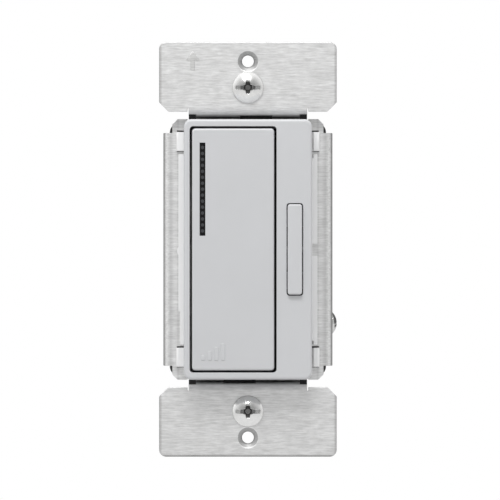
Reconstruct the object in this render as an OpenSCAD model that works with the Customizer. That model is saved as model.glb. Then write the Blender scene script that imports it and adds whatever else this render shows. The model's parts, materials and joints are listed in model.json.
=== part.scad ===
// Wall dimmer with a large push paddle, a dim bar beside it and a folded aluminium heat-sink strap
// X is right, Z is up and the front faces -Y. The origin is the centre of the plane of the ears' backs.

/* [Strap] */
// Thickness of the folded sheet
sheet_t = 1.6; // [1.2:0.1:2]
// Distance between the two box screws
box_spacing = 83.34; // [78:0.01:100]
// From a box screw to the wallplate screw above it
wallplate_step = 6.75; // [6.5:0.05:8]
// Metal past the wallplate hole, to the end of the ear
ear_margin = 4.93; // [4:0.01:7]
// Width of an ear
ear_w = 45.7; // [38:0.1:56]
// Rounding of an ear's outer corners
ear_round = 1.8; // [0.8:0.1:3]
// Chamfer of an ear's inner corners
ear_chamfer = 2.4; // [1:0.1:3.2]
// Width of the neck between an ear and the plate
neck_w = 30.5; // [26:0.1:34]
// Depth of the step between the ears and the plate
joggle = 4; // [3.6:0.1:5]
// Inside radius of the bend at an ear
ear_bend_r = 0.8; // [0.5:0.1:1]
// Inside radius of the bend at the plate
plate_bend_r = 0.6; // [0.5:0.05:0.8]
// From the end of the plate's corners out to the neck's wall
neck_gap = 0.35; // [0.2:0.05:0.4]
// From a box screw to the neck's wall
neck_reach = 8.07; // [7:0.01:10]
// Chamfer of the plate's corners
plate_chamfer = 1.4; // [0.8:0.1:2]
// How far the plate's end tabs stand past the wings
plate_tab = 3.6; // [3:0.1:4.5]
// Depth of a wing behind the plate's front
wing_d = 13; // [10:0.5:15]
// Inside radius of a wing's bend
wing_bend_r = 0.4; // [0.3:0.1:0.8]
// Diameter of a wallplate screw hole
tapped_d = 3.06; // [2.6:0.02:3.6]
// Diameter of the dimple round a wallplate hole
dimple_d = 5.5; // [4.6:0.1:6]

/* [Face] */
// How far the frame stands in front of the ears
face_proud = 6.9; // [6:0.1:8]
// Width of the paddle
paddle_w = 21.1; // [18:0.1:25]
// Gap beside the paddle
paddle_gap = 0.6; // [0.5:0.05:0.8]
// Gap above and below the paddle
paddle_end_gap = 0.55; // [0.45:0.05:0.8]
// Width of the dim bar
dim_w = 3.7; // [3:0.1:5]
// Length of the dim bar
dim_h = 23.2; // [19:0.1:28]
// Gap round the dim bar
dim_gap = 0.25; // [0.2:0.05:0.35]
// Frame to the left of the paddle
bezel_left = 1.5; // [1.3:0.05:1.8]
// Frame between the paddle and the dim bar
bezel_mid = 2.6; // [2:0.05:2.9]
// Frame to the right of the dim bar
bezel_right = 2.3; // [2:0.05:2.9]
// Frame above and below the paddle
bezel_end = 1.8; // [1.5:0.05:2.2]
// Thickness of the frame's face
face_t = 1.8; // [1.5:0.1:2.2]
// Rounding of the frame's corners, seen from the front
face_corner = 1.9; // [1.4:0.1:2.4]
// Rounding of the paddle opening's corners
opening_corner = 0.9; // [0.6:0.1:1.2]
// Softening of the frame's front edge
face_soft = 0.7; // [0.4:0.1:1]
// How far the paddle stands in front of the frame
paddle_proud = 0.4; // [0.3:0.05:0.6]
// Thickness of the paddle's skin
paddle_t = 1.8; // [1.5:0.1:2.2]
// How far the dim bar stands in front of the frame
dim_proud = 1.2; // [1:0.1:1.5]
// Length of the light window
window_h = 23.8; // [20:0.1:28]
// Width of the light window
window_w = 1.35; // [1.1:0.05:1.7]
// From the paddle's left side to the window's middle
window_inset = 2.7; // [2.4:0.1:3.2]
// From the paddle's top to the window's top
window_drop = 3.7; // [3:0.1:5]
// Number of lights
light_count = 15; // [12:1:18]

/* [Motion] */
// Swing of the paddle, in degrees
paddle_swing = 0.8; // [0.6:0.05:1]
// Tilt of the dim bar each way, in degrees
dim_tilt = 2.5; // [2:0.1:3]
// Radius of the paddle's trunnions
paddle_pin_r = 0.9; // [0.8:0.05:1.1]
// Radius of the dim bar's trunnions
dim_pin_r = 0.8; // [0.65:0.05:0.95]
// Running clearance round a trunnion
pin_play = 0.05; // [0.04:0.01:0.08]
// From the paddle's top to its pivot
pivot_drop = 2; // [1.8:0.1:2.6]
// From the pivot down to the push switch
switch_arm = 36; // [31:0.5:40]

/* [Housing] */
// Housing side past the frame's side
side_margin = 3.7; // [3.4:0.1:4.4]
// Depth of the rear housing
housing_d = 29; // [28:0.5:34]
// Wall of the rear housing
wall = 1.8; // [1.6:0.1:2.2]
// How far the housing's ends lie inside the plate's
housing_inset = 1; // [0.8:0.1:2]
// Rounding of the housing's corners, seen from the front
housing_corner = 2.4; // [1.6:0.1:3]
// Fit between the housing and the wings
wing_fit = 0.05; // [0.04:0.01:0.1]
// Thickness of the tray under the frame
tray_t = 1.4; // [1.2:0.1:1.6]
// Thickness of the circuit boards
board_t = 1; // [0.8:0.1:1.6]
// Diameter of a terminal screw's head
terminal_d = 7; // [6:0.2:8]

/* [Screws] */
// Diameter of a box screw's head
head_d = 8.1; // [7:0.1:9]
// Height of a box screw's head
head_h = 2; // [1.7:0.1:2.4]
// Radius of a box screw's thread
thread_r = 1.75; // [1.6:0.05:1.9]
// Length of a box screw behind the ear
screw_l = 23; // [19:0.5:28]

/* [Hidden] */
$fn = 48;
eps = 0.01;
seat = 0.05;

// Heights, measured along Z from the middle
wallplate_spacing = box_spacing + 2 * wallplate_step;
strap_h = wallplate_spacing + 2 * ear_margin;
plate_h = box_spacing - 2 * neck_reach;
wing_h = plate_h - 2 * plate_tab;
face_h = plate_h - 0.4;
housing_h = plate_h - 2 * housing_inset;
opening_h = face_h - 2 * bezel_end;
paddle_h = opening_h - 2 * paddle_end_gap;
paddle_top = paddle_h / 2;
pivot_z = paddle_top - pivot_drop;
neck_z = plate_h / 2 + neck_gap;
tray_h = 2 * (neck_z - plate_bend_r) - 0.2;
ear_bend_z = neck_z + sheet_t + ear_bend_r;
ear_base = plate_h / 2 + sheet_t + 0.25;

// Widths, measured along X from the middle
opening_w = paddle_w + 2 * paddle_gap;
dim_slot_w = dim_w + 2 * dim_gap;
face_w = bezel_left + opening_w + bezel_mid + dim_slot_w + bezel_right;
opening_x = -face_w / 2 + bezel_left;
paddle_x = opening_x + opening_w / 2;
dim_x = face_w / 2 - bezel_right - dim_slot_w / 2;
window_x = paddle_x - paddle_w / 2 + window_inset;
window_z = paddle_top - window_drop - window_h / 2;
housing_w = face_w + 2 * side_margin;
wing_in = housing_w / 2 + wing_fit;
wing_out = wing_in + sheet_t;
flange_out = face_w / 2 + 1.45;

// Depths, measured along Y, where the front is negative
ear_front = -sheet_t;
plate_front = joggle - sheet_t;
plate_back = plate_front + sheet_t;
face_front = ear_front - face_proud;
face_back = face_front + face_t;
paddle_front = face_front - paddle_proud;
paddle_back = paddle_front + paddle_t;
dim_front = face_front - dim_proud;
tray_front = plate_front - tray_t;
board_back = tray_front - 0.8;
board_front = board_back - board_t;
pivot_y = paddle_back + 1.5;
dim_pivot_y = face_back + 0.7;
wing_tip = plate_front + wing_d;
housing_back = plate_back + housing_d;

// The push switch and its travel, which follows the paddle
push_travel = switch_arm * sin(paddle_swing);
plunger_out = 2 * push_travel;
switch_h = 3.4;
push_z = pivot_z - switch_arm;
push_top = board_front - switch_h;
plunger_r = 1.75;
push_half = 3;

// The dim switches and the soft pads over them
dim_arm = 8;
dim_travel = dim_arm * sin(dim_tilt);
dim_switch_h = 1.6;
dim_switch_top = board_front - dim_switch_h;
dim_foot = face_back + 2.1;

// Slots in the ears, and the reliefs of the necks: one at each edge and a long one beside the middle
slot_half = 2;
relief_in = neck_w / 2 - 1.9;
relief_h = 1.2;
slot_left = -2;
slot_right = 6.2;
slot_h = 0.85;
shoulder_d = 5;

// Plug between the boards, and the transistors on the plate's back
link_z = housing_h / 2 - 8.8;
link_w = 18;
link_t = 2.5;
rivet_z = 12;
rivet_r = 1.3;
rivet_head_r = 2.2;
pad_t = 0.25;

// Snap tabs of the tray, whose heads lap over the outer edges of their windows in the plate
snap_z = plate_h / 2 - 5.8;
snap_h = 4.9;
snap_out = flange_out + 0.55;
snap_t = 1.25;
snap_lap = 0.25;
leg_out = snap_out - snap_lap;
window_in = face_w / 2 - 0.9;
window_out = leg_out + 0.06;
window_below = snap_h / 2 + 0.12;
window_above = snap_h / 2 + 0.36;
snap_groove = 0.42;
flange_half = snap_z - snap_h / 2 - 0.8;

// Terminals at the sides of the housing
pocket_d = 5;
pocket_half = terminal_d / 2 + 1.3;
pocket_z = pocket_half + 3;
pocket_y = wing_tip + 1.6 + pocket_half;
lug_t = 1.2;
clamp_t = 1;
clamp_gap = 1.1;
terminal_r = 1.75;
head_t = 2.2;

// Corner screws that hold the housing to the plate
corner_x = housing_w / 2 - 4.55;
corner_z = flange_half - 3;
corner_r = 1.4;
boss_r = 3.6;

// The power board and what is mounted on it
power_w = 2 * (corner_x - boss_r) - 0.4;
power_h = housing_h - 2 * wall - 0.6;
power_front = pocket_y - pocket_half + 3.2;
power_back = power_front + board_t + 0.6;
part_gap = 0.75;
film_w = 8;
film_h = 16;
film_d = 10;
film_left = 1 - power_w / 2;
film_z = 11.5 - power_h / 2;
wire_d = 0.6;
choke_w = 3;
choke_t = 5;
choke_z = 9.5 - power_h / 2;
choke_right = power_w / 2 - 0.55;
choke_left = film_left + film_w + part_gap;
choke_x = (choke_left + choke_right) / 2;
choke_r = (choke_right - choke_left) / 2 - wire_d - choke_w / 2;
choke_split = 1.1;
fuse_z = power_h / 2 - 13.1;
fuse_r = 2.6;
fuse_half = power_w / 2 - 3.3;
fuse_cap = 4.5;
fuse_wall = 0.25;
store_r = 4;
store_h = 10.2;
store_x = store_r + 1.8 - power_w / 2;
store_z = power_h / 2 - 23;
disc_r = 4.8;
disc_t = 4;
disc_x = power_w / 2 - 7.4;
housing_bevel = 1.2;
screw_seat = housing_back - 6;

// Transistors against the plate's back, side by side over the power board
transistor_w = power_w / 2 - 1.8;
transistor_x = power_w / 2 - 0.2 - transistor_w / 2;
transistor_tab_t = 1.3;
transistor_t = 4.4;
transistor_l = 9.3;
pad_margin = 0.4;
lead_w = 0.8;
lead_pitch = 2.54;

// Radio module and paddle spring on the control board
radio_w = 12;
radio_h = 16;
radio_z = push_z + push_half + 1.95 + radio_h / 2;
spring_w = 4;
spring_l = 12;

// Ground screw in the right wing
ground_z = -19;
ground_y = wing_tip - 6.8;
ground_r = 1.7;
ground_head_r = 2.7;
ground_head_h = 1.15;

module slab(y0, y1) {
    translate([0, y1, 0]) rotate([90, 0, 0]) linear_extrude(y1 - y0) children();
}

module along_x(x0, x1) {
    translate([x0, 0, 0]) rotate([90, 0, 90]) linear_extrude(x1 - x0) children();
}

module block(x0, x1, y0, y1, z0, z1) {
    translate([x0, y0, z0]) cube([x1 - x0, y1 - y0, z1 - z0]);
}

module rod_y(x, z, y0, y1, r) {
    translate([x, y0, z]) rotate([-90, 0, 0]) cylinder(r = r, h = y1 - y0);
}

module rod_x(x0, x1, y, z, r) {
    translate([x0, y, z]) rotate([0, 90, 0]) cylinder(r = r, h = x1 - x0);
}

module both_ends() {
    children();
    mirror([0, 0, 1]) children();
}

module both_sides() {
    children();
    mirror([1, 0, 0]) children();
}

module both_sides_2d() {
    children();
    mirror([1, 0]) children();
}

module rounded_rect(w, h, r) {
    square([w - 2 * r, h], center = true);
    square([w, h - 2 * r], center = true);
    for (x = [-1, 1], z = [-1, 1])
        translate([x * (w / 2 - r), z * (h / 2 - r)]) circle(r);
}

// A quarter of a bent sheet's section, in the first quadrant
module bend_section(r, t) {
    intersection() {
        difference() {
            circle(r + t);
            circle(r);
        }
        square(r + t);
    }
}

// A rounded rectangle whose front edge is softened all the way round
module soft_block(w, h, front, back, corner, soft) {
    puck = concat([[0, 0], [corner, 0]],
        [for (a = [0 : 15 : 90]) [corner - soft + soft * cos(a), back - front - soft + soft * sin(a)]],
        [[0, back - front]]);
    hull()
        for (x = [-1, 1], z = [-1, 1])
            translate([x * (w / 2 - corner), back, z * (h / 2 - corner)])
                rotate([90, 0, 0]) rotate_extrude($fn = 32) polygon(puck);
}

// Ear seen from the front, with rounded outer corners, chamfered inner ones and a slot for the box screw
module ear_outline() {
    top = strap_h / 2;
    side = ear_w / 2;
    difference() {
        intersection() {
            translate([0, ear_base]) rounded_rect(ear_w, 2 * (top - ear_base), ear_round);
            polygon([[-side, top + 1], [side, top + 1], [side, ear_base + ear_chamfer],
                [side - ear_chamfer, ear_base], [-side + ear_chamfer, ear_base],
                [-side, ear_base + ear_chamfer]]);
        }
        translate([0, ear_base]) square([neck_w + 0.6, 2 * (ear_bend_z - ear_base)], center = true);
        translate([0, box_spacing / 2]) rounded_rect(2 * thread_r + 3.6, slot_half * 2, slot_half - eps);
    }
}

// Section of the step from an ear down to the plate, in Y and Z
module neck_section() {
    translate([ear_bend_r, ear_bend_z]) rotate(180) bend_section(ear_bend_r, sheet_t);
    translate([ear_bend_r, neck_z])
        square([plate_front - plate_bend_r - ear_bend_r, sheet_t]);
    translate([plate_front - plate_bend_r, neck_z - plate_bend_r])
        bend_section(plate_bend_r, sheet_t);
}

// Cut through the upper neck just past the plate's end
module neck_cut(x0, x1, h) {
    block(x0, x1, ear_front - 1, plate_back + 1, plate_h / 2, plate_h / 2 + h);
}

// Plate between the necks, with chamfered end tabs and four windows for the tray's snaps
module plate_outline() {
    half = housing_w / 2 - 0.65;
    top = plate_h / 2;
    difference() {
        union() {
            polygon([[-half, plate_chamfer - top], [plate_chamfer - half, -top], [half - plate_chamfer, -top],
                [half, plate_chamfer - top], [half, top - plate_chamfer], [half - plate_chamfer, top],
                [plate_chamfer - half, top], [-half, top - plate_chamfer]]);
            square([2 * (wing_in - wing_bend_r), wing_h], center = true);
        }
        for (z = [-1, 1])
            translate([0, z * top])
                square([neck_w + 0.6, 2 * (plate_bend_r - neck_gap)], center = true);
        for (z = [-1, 1])
            both_sides_2d() translate([window_in, z * snap_z - window_below])
                square([window_out - window_in, window_below + window_above]);
        translate([0, link_z]) square([link_w + 1, link_t + 1], center = true);
        for (x = [-1, 1]) {
            for (z = [-1, 1])
                translate([x * corner_x, z * corner_z]) circle(corner_r + seat);
            translate([x * transistor_x, rivet_z]) circle(rivet_r + seat);
        }
    }
}

// Wing folded back from the plate's right side, with its tip corners cut off
module wing() {
    cut = 2;
    difference() {
        translate([0, 0, -wing_h / 2]) linear_extrude(wing_h) {
            translate([wing_in - wing_bend_r, plate_back + wing_bend_r])
                mirror([0, 1]) bend_section(wing_bend_r, sheet_t);
            translate([wing_in, plate_back + wing_bend_r])
                square([sheet_t, wing_d - sheet_t - wing_bend_r]);
        }
        both_ends()
            along_x(wing_in - 1, wing_out + 1)
                polygon([[wing_tip - cut, wing_h / 2 + eps], [wing_tip + eps, wing_h / 2 + eps],
                    [wing_tip + eps, wing_h / 2 - cut]]);
    }
}

module mounting_strap() color([0.84, 0.84, 0.84]) {
    collar = 0.9;
    funnel = 0.9;
    difference() {
        union() {
            both_ends() {
                slab(ear_front, 0) ear_outline();
                along_x(-neck_w / 2, neck_w / 2) neck_section();
                rod_y(0, wallplate_spacing / 2, -eps, collar, tapped_d / 2 + 0.7);
            }
            slab(plate_front, plate_back) plate_outline();
            both_sides() wing();
        }
        both_ends() {
            rod_y(0, wallplate_spacing / 2, ear_front - 1, collar + 1, tapped_d / 2);
            translate([0, ear_front - eps, wallplate_spacing / 2]) rotate([-90, 0, 0])
                cylinder(r1 = dimple_d / 2, r2 = tapped_d / 2, h = funnel);
            both_sides() neck_cut(relief_in, neck_w / 2 + 1, relief_h);
        }
        neck_cut(slot_left, slot_right, slot_h);
        mirror([1, 0, 0]) mirror([0, 0, 1]) neck_cut(slot_left, slot_right, slot_h);
        rod_x(wing_in - 1, wing_out + 1, ground_y, ground_z, ground_r + seat);
    }
}

// Bezel with a paddle opening, a slot for the dim bar and the bearings of both
module face_frame() color([0.8, 0.81, 0.82]) {
    side = 1.5;
    web = 1.2;
    bearing = 3.2;
    deep = 1;
    z_in = opening_h / 2;
    difference() {
        union() {
            difference() {
                soft_block(face_w, face_h, face_front, tray_front, face_corner, face_soft);
                slab(face_back, tray_front + 1)
                    rounded_rect(face_w - 2 * side, face_h - 2 * side, face_corner - 0.6);
                slab(face_front - 1, tray_front + 1)
                    translate([paddle_x, 0]) rounded_rect(opening_w, opening_h, opening_corner);
            }
            // Webs beside the paddle and above and below it, down to the board
            block(opening_x + opening_w, opening_x + opening_w + web, face_back - eps, board_front - 0.3,
                -z_in, z_in);
            both_sides_of(dim_x, dim_slot_w / 2)
                block(0, 1.4, face_back - eps, dim_pivot_y + dim_pin_r + 1, -bearing / 2, bearing / 2);
        }
        slab(face_front - 1, face_back + eps)
            translate([dim_x, 0]) rounded_rect(dim_slot_w, dim_h + 2 * dim_gap, 0.7);
        rod_x(dim_x - dim_slot_w / 2 - deep, dim_x + dim_slot_w / 2 + deep, dim_pivot_y, 0,
            dim_pin_r + pin_play);
        rod_x(opening_x - deep, opening_x + opening_w + deep, pivot_y, pivot_z, paddle_pin_r + pin_play);
    }
}

// Copies a child, drawn from zero outwards, to both sides of a middle line
module both_sides_of(middle, half) {
    translate([middle, 0, 0]) both_sides() translate([half, 0, 0]) children();
}

// Snap whose head rests on the plate and whose leg passes the window and hooks behind the plate
module snap() {
    root = 0.9;
    head_in = window_in - 0.3;
    head_r = 0.6;
    hook = 0.75;
    tip = plate_back + 1.7;
    translate([0, 0, -snap_h / 2]) linear_extrude(snap_h) {
        translate([head_in, tray_front]) square([snap_out - head_r - head_in, tray_t]);
        translate([head_in, tray_front + head_r]) square([snap_out - head_in, tray_t - head_r]);
        translate([snap_out - head_r, tray_front + head_r]) circle(head_r);
        translate([window_in + seat, plate_front - eps]) square([leg_out - window_in - seat, root + eps]);
        translate([leg_out - snap_t, plate_front - eps]) square([snap_t, tip - plate_front + eps]);
        polygon([[leg_out - eps, plate_back + 0.1], [leg_out + hook, plate_back + 0.1],
            [leg_out + hook, plate_back + 0.4], [leg_out - eps, tip]]);
    }
}

// Tray under the frame, with side flanges, board posts and four snaps
module switch_tray() color([0.88, 0.88, 0.88]) {
    post = 1.4;
    bump_r = 1.8;
    bump_out = 0.35;
    nick_w = 0.45;
    nick_h = 1;
    step_z = -16;
    side = face_w / 2;
    difference() {
        union() {
            slab(tray_front, plate_front) {
                rounded_rect(face_w, tray_h, face_corner);
                square([2 * flange_out, 2 * flange_half], center = true);
                // Bump of the left flange
                translate([bump_r - bump_out - flange_out, -0.4]) circle(bump_r);
            }
            for (x = [-1, 1], z = [-1 : 1])
                rod_y(x * (side - 3.4), z * (opening_h / 2 - 3.4), board_back, tray_front + eps, post);
        }
        for (z = [-1, 1])
            both_sides() block(window_in, flange_out + 1, tray_front - 1, plate_front + 1,
                z * snap_z - window_below, z * snap_z + window_above);
        // Notch of the right flange, a nick at each of its ends and the step of the left one
        block(side + 0.1, flange_out + 1, tray_front - 1, plate_front + 1, -1.6, 1.45);
        both_ends() block(side, side + nick_w, tray_front - 1, plate_front + 1, flange_half - nick_h,
            flange_half + 1);
        block(-flange_out - 1, nick_w - flange_out, tray_front - 1, plate_front + 1, -flange_half - 1, step_z);
        slab(tray_front - 1, plate_front + 1)
            translate([0, link_z]) square([link_w + 0.6, link_t + 0.6], center = true);
        for (x = [-1, 1])
            rod_y(x * transistor_x, rivet_z, tray_front - 1, plate_front + 1, rivet_head_r + 0.3);
    }
    for (z = [-1, 1]) translate([0, 0, z * snap_z]) {
        mirror([1, 0, 0]) snap();
        difference() {
            snap();
            block(side + 0.05, side + 0.05 + snap_groove, tray_front - 1, plate_front, -snap_h, snap_h);
        }
    }
}

// Push paddle: a skin with a rim, a post over the push switch and a trunnion at each side
module paddle() color([0.8, 0.81, 0.82]) {
    rim = 1.1;
    rim_back = paddle_back + 2.4;
    corner = opening_corner - 0.05;
    reach = paddle_gap + 0.85;
    difference() {
        union() {
            difference() {
                translate([paddle_x, 0, 0])
                    soft_block(paddle_w, paddle_h, paddle_front, rim_back, corner, 0.6);
                slab(paddle_back, rim_back + 1)
                    translate([paddle_x, 0]) square([paddle_w - 2 * rim, paddle_h - 2 * rim], center = true);
            }
            // Ribs that stiffen the skin and carry the post
            for (x = [-5.5, 5.5])
                block(paddle_x + x - 0.5, paddle_x + x + 0.5, paddle_back - eps, rim_back - 0.6,
                    rim - paddle_h / 2 - eps, window_z - window_h / 2 - 2);
            block(paddle_x - paddle_w / 2 + rim - eps, paddle_x + paddle_w / 2 - rim + eps,
                paddle_back - eps, rim_back - 0.6, push_z - 0.6, push_z + 0.6);
            rod_y(paddle_x, push_z, paddle_back - eps, push_top - plunger_out - seat, 1.3);
            for (x = [-1, 1])
                rod_x(paddle_x + x * (paddle_w / 2 - rim / 2) - (x < 0 ? reach + rim / 2 : 0),
                    paddle_x + x * (paddle_w / 2 - rim / 2) + (x < 0 ? 0 : reach + rim / 2),
                    pivot_y, pivot_z, paddle_pin_r);
        }
        slab(paddle_front - 1, paddle_back + 1)
            translate([window_x, window_z]) square([window_w + 0.1, window_h + 0.1], center = true);
    }
}

// Dark strip in the paddle over the row of lights, with a blind pit behind each light
module light_window() color([0.12, 0.12, 0.13]) {
    pitch = (window_h - 2.4) / (light_count - 1);
    difference() {
        slab(paddle_front + 0.05, paddle_back)
            translate([window_x, window_z]) square([window_w, window_h], center = true);
        for (i = [0 : light_count - 1])
            rod_y(window_x, window_z + (i - (light_count - 1) / 2) * pitch, paddle_back - 1.2, paddle_back + 1,
                0.35);
    }
}

// Rocking bar with a trunnion at each side and a foot over each dim switch
module dim_bar() color([0.81, 0.82, 0.83]) {
    back = face_back + 1.1;
    reach = dim_gap + 0.8;
    difference() {
        translate([dim_x, 0, 0]) soft_block(dim_w, dim_h, dim_front, back, 0.65, 0.45);
        block(dim_x - dim_w / 2 + 0.9, dim_x + dim_w / 2 - 0.9, face_back - 0.6, back + 1, 2, dim_h / 2 - 1);
        block(dim_x - dim_w / 2 + 0.9, dim_x + dim_w / 2 - 0.9, face_back - 0.6, back + 1, 1 - dim_h / 2, -2);
    }
    rod_x(dim_x - dim_w / 2 - reach, dim_x + dim_w / 2 + reach, dim_pivot_y, 0, dim_pin_r);
    for (z = [-1, 1])
        rod_y(dim_x, z * dim_arm, face_back - 0.7, dim_foot, 0.9);
}

// Soft strip over the dim switches, with a hollow pillar under each foot of the bar
module dim_pads() color([0.75, 0.75, 0.76]) {
    strip = 0.5;
    roof = dim_travel + 0.25;
    difference() {
        union() {
            block(dim_x - 1.8, dim_x + 1.8, dim_switch_top - strip, dim_switch_top,
                -dim_arm - 2.2, dim_arm + 2.2);
            for (z = [-1, 1])
                rod_y(dim_x, z * dim_arm, dim_foot + seat, dim_switch_top - strip + eps, 1.5);
        }
        for (z = [-1, 1])
            rod_y(dim_x, z * dim_arm, dim_foot + seat + roof, dim_switch_top + 1, 0.8);
    }
}

// Board that carries the switches, the lights and the radio
module control_board() color([0.05, 0.06, 0.06]) {
    slab(board_front, board_back) rounded_rect(face_w - 3.6, opening_h - 1.2, 1);
}

// Body of the push switch, with the well of its plunger
module push_switch() color([0.7, 0.71, 0.73]) {
    difference() {
        union() {
            block(paddle_x - push_half, paddle_x + push_half, push_top, board_front, push_z - push_half,
                push_z + push_half);
            rod_y(paddle_x, push_z, push_top - 0.3, push_top + eps, plunger_r + 0.7);
        }
        rod_y(paddle_x, push_z, push_top - 1, push_top + 1.6, plunger_r + seat);
    }
}

module push_plunger() color([0.15, 0.15, 0.16]) {
    rod_y(paddle_x, push_z, push_top - plunger_out, push_top + 0.8, plunger_r);
}

module dim_switches() color([0.7, 0.71, 0.73]) {
    for (z = [-1, 1])
        block(dim_x - 2.2, dim_x + 2.2, dim_switch_top, board_front, z * dim_arm - 2.2, z * dim_arm + 2.2);
}

// One small light per dot of the window
module light_row() color([0.9, 0.9, 0.7]) {
    pitch = (window_h - 2.4) / (light_count - 1);
    for (i = [0 : light_count - 1]) {
        z = window_z + (i - (light_count - 1) / 2) * pitch;
        block(window_x - 0.5, window_x + 0.5, board_front - 0.5, board_front, z - 0.35, z + 0.35);
    }
}

// Clear bar between the lights and the window, on two feet
module light_guide() color([0.85, 0.9, 0.92]) {
    half = window_h / 2;
    front = paddle_back + 0.75;
    block(window_x - 0.5, window_x + 0.5, front, board_front - 0.6, window_z - half, window_z + half);
    for (z = [-1, 1])
        block(window_x - 0.5, window_x + 0.5, board_front - 0.7, board_front,
            window_z + z * (half - 0.4) - 0.4, window_z + z * (half - 0.4) + 0.4);
}

// Shielded radio module on the lower part of the control board
module radio_module() color([0.78, 0.79, 0.8]) {
    base = board_front - 0.8;
    can_h = 1.8;
    can_edge = 0.6;
    aerial = 3.4;
    left = window_x + 1.85;
    right = left + radio_w;
    bottom = radio_z - radio_h / 2;
    top = radio_z + radio_h / 2;
    block(left, right, base, board_front, bottom, top);
    block(left + can_edge, right - can_edge, base - can_h, base + eps, bottom + can_edge, top - aerial);
}

// Plug between the two boards, through the tray and the plate
module board_link() color([0.14, 0.14, 0.15]) {
    pins = 8;
    pitch = link_w / pins;
    block(-link_w / 2, link_w / 2, board_back, plate_back + 2.6, link_z - link_t / 2, link_z + link_t / 2);
    for (i = [0 : pins - 1]) {
        x = (i - (pins - 1) / 2) * pitch;
        block(x - 0.3, x + 0.3, plate_back + 2.6 - eps, power_front, link_z - 0.3, link_z + 0.3);
    }
}

// Leaf spring that lifts the paddle's lower end
module paddle_spring() color([0.75, 0.76, 0.78]) {
    t = 0.25;
    foot = -paddle_h / 2 + 4;
    lift = paddle_back + seat;
    rest = board_front - t;
    head = foot + spring_l;
    translate([paddle_x + 2.6, 0, 0]) along_x(-spring_w / 2, spring_w / 2) {
        translate([rest, foot - 3.2]) square([t, 3.2 + eps]);
        polygon([[rest, foot], [rest + t, foot], [lift + t, head], [lift, head]]);
        translate([lift, head - eps]) square([t, 1.4]);
    }
}

// Board in the rear housing, behind the plate
module power_board() color([0.05, 0.06, 0.06]) {
    slab(power_front, power_back) rounded_rect(power_w, power_h, 1);
}

// Two flat transistors against the plate, with leads bent back to the power board
module transistors() color([0.16, 0.16, 0.17]) {
    half = transistor_w / 2;
    pad_back = plate_back + pad_t;
    tab_back = pad_back + transistor_tab_t;
    body_top = rivet_z - rivet_head_r - 1;
    body_bottom = body_top - transistor_l;
    lead_y = pad_back + 2.4;
    lead_end = body_bottom - 2.5;
    for (x = [-transistor_x, transistor_x]) {
        difference() {
            block(x - half, x + half, pad_back, tab_back, body_bottom, rivet_z + 3);
            rod_y(x, rivet_z, pad_back - 1, tab_back + 1, rivet_r + 0.3);
        }
        block(x - half, x + half, tab_back - eps, pad_back + transistor_t, body_bottom, body_top);
        for (i = [-1 : 1]) translate([x + i * lead_pitch - lead_w / 2, 0, lead_end]) {
            translate([0, lead_y, 0]) cube([lead_w, 0.5, body_bottom + eps - lead_end]);
            translate([0, lead_y, 0]) cube([lead_w, power_front - lead_y, 0.5]);
        }
    }
}

// Insulating sheets between the transistors and the plate
module transistor_pads() color([0.72, 0.7, 0.62]) {
    half = transistor_w / 2 + pad_margin;
    bottom = rivet_z - rivet_head_r - 1 - transistor_l - pad_margin;
    for (x = [-transistor_x, transistor_x])
        difference() {
            block(x - half, x + half, plate_back, plate_back + pad_t, bottom, rivet_z + 3 + pad_margin);
            rod_y(x, rivet_z, plate_back - 1, plate_back + 1, rivet_r + 0.1);
        }
}

module transistor_rivets() color([0.72, 0.72, 0.73]) {
    tab_back = plate_back + pad_t + transistor_tab_t;
    for (x = [-transistor_x, transistor_x]) {
        rod_y(x, rivet_z, plate_front - 0.8, plate_front, rivet_head_r);
        rod_y(x, rivet_z, plate_front - eps, tab_back + eps, rivet_r);
        rod_y(x, rivet_z, tab_back, tab_back + 0.6, rivet_head_r);
    }
}

// Ring core of the choke, lying on the power board
module choke_core() color([0.3, 0.34, 0.3]) {
    at_choke() rounded_rect(choke_w, choke_t, 0.5);
}

// Two windings that wrap the core, with a gap between them
module choke_winding() color([0.72, 0.42, 0.2]) {
    difference() {
        at_choke() rounded_rect(choke_w + 2 * wire_d, choke_t + 2 * wire_d, 0.9);
        at_choke() rounded_rect(choke_w + 2 * seat, choke_t + 2 * seat, 0.5);
        block(choke_x - choke_split, choke_x + choke_split, 0, power_front, choke_z - 2 * choke_r,
            choke_z + 2 * choke_r);
    }
}

// Turns a section round the choke's axis
module at_choke() {
    translate([choke_x, power_front - choke_t / 2 - wire_d, choke_z]) rotate([-90, 0, 0])
        rotate_extrude() translate([choke_r, 0]) children();
}

// Glass tube of the fuse
module fuse_tube() color([0.8, 0.85, 0.85]) {
    reach = fuse_half - fuse_cap / 2;
    rod_x(-reach, reach, power_front - fuse_r, fuse_z, fuse_r - fuse_wall);
}

// End caps of the fuse
module fuse_caps() color([0.75, 0.75, 0.76]) {
    near = fuse_half - fuse_cap;
    both_sides() difference() {
        rod_x(near, fuse_half, power_front - fuse_r, fuse_z, fuse_r);
        rod_x(near - 1, near + fuse_cap / 2 + seat, power_front - fuse_r, fuse_z, fuse_r - fuse_wall + eps);
    }
}

module film_capacitor() color([0.2, 0.3, 0.6]) {
    block(film_left, film_left + film_w, power_front - film_d, power_front, film_z - film_h / 2,
        film_z + film_h / 2);
}

module storage_capacitor() color([0.12, 0.12, 0.2]) {
    rod_y(store_x, store_z, power_front - store_h, power_front, store_r);
}

// Disc that clamps surges, on two leads
module surge_disc() color([0.15, 0.3, 0.6]) {
    lead = 0.6;
    lead_in = 0.8;
    rod_x(disc_x, disc_x + disc_t, power_front - disc_r - 1.1, store_z, disc_r);
    for (x = [disc_x + lead_in, disc_x + disc_t - lead_in - lead])
        block(x, x + lead, power_front - disc_r / 2, power_front, store_z - lead / 2, store_z + lead / 2);
}

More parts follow.
